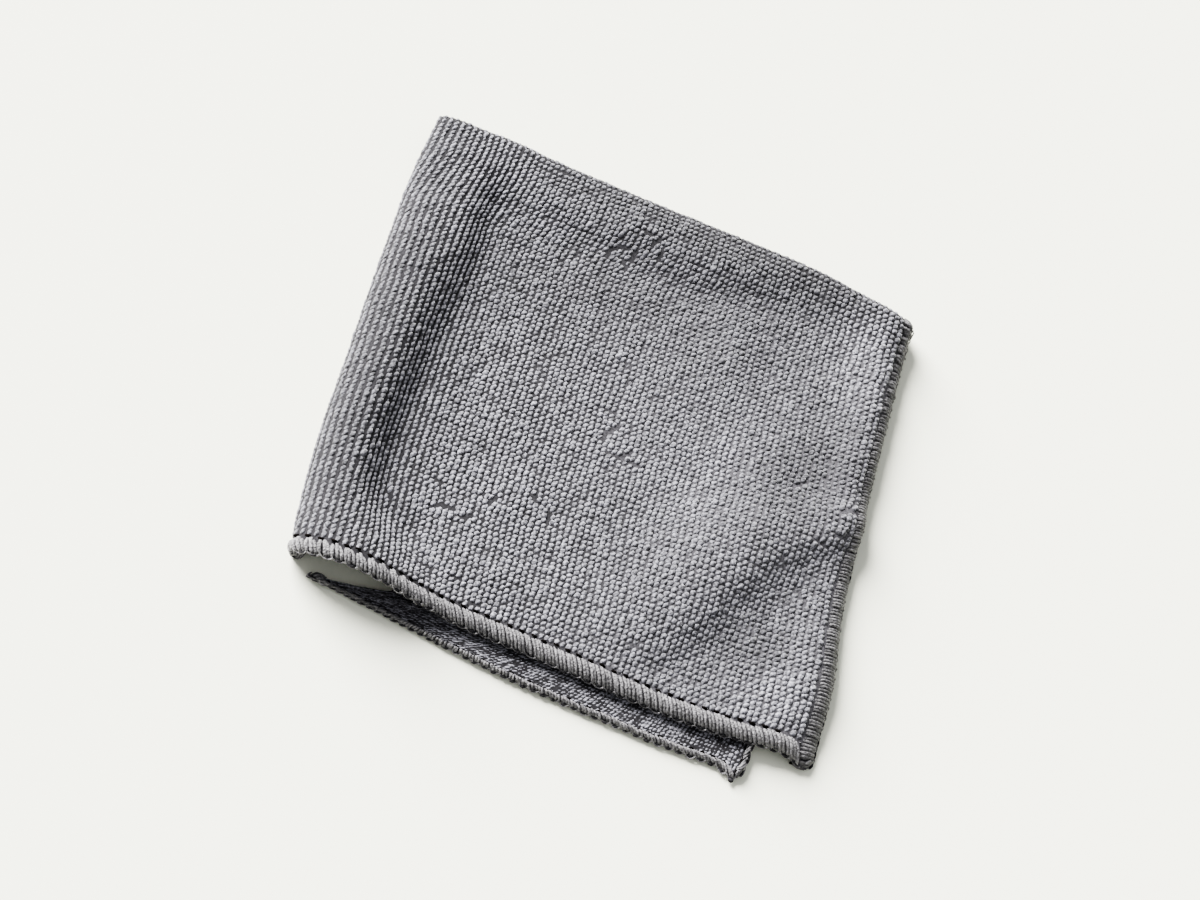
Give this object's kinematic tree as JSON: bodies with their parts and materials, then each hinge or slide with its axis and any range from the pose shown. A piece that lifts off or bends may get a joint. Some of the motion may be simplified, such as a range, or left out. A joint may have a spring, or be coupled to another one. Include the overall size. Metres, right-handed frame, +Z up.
{
  "type": "folded microfibre cloth",
  "caption": "Grey knitted microfibre cleaning cloth with a pearl surface and overlocked edges, folded square with a puffy roll along its left side.",
  "frame": {"origin": "middle of the folded cloth's box, at the bottom, on the table", "axes": "+Z up from the table, +X to the right of the pictured front hem, -Y towards that hem"},
  "size_m": [0.1975, 0.2108, 0.0147],
  "materials": {
    "cloth": "dull grey microfibre knit with a raised pearl pattern"
  },
  "bodies": {
    "root": {"cloth": "cloth"}
  },
  "joints": []
}
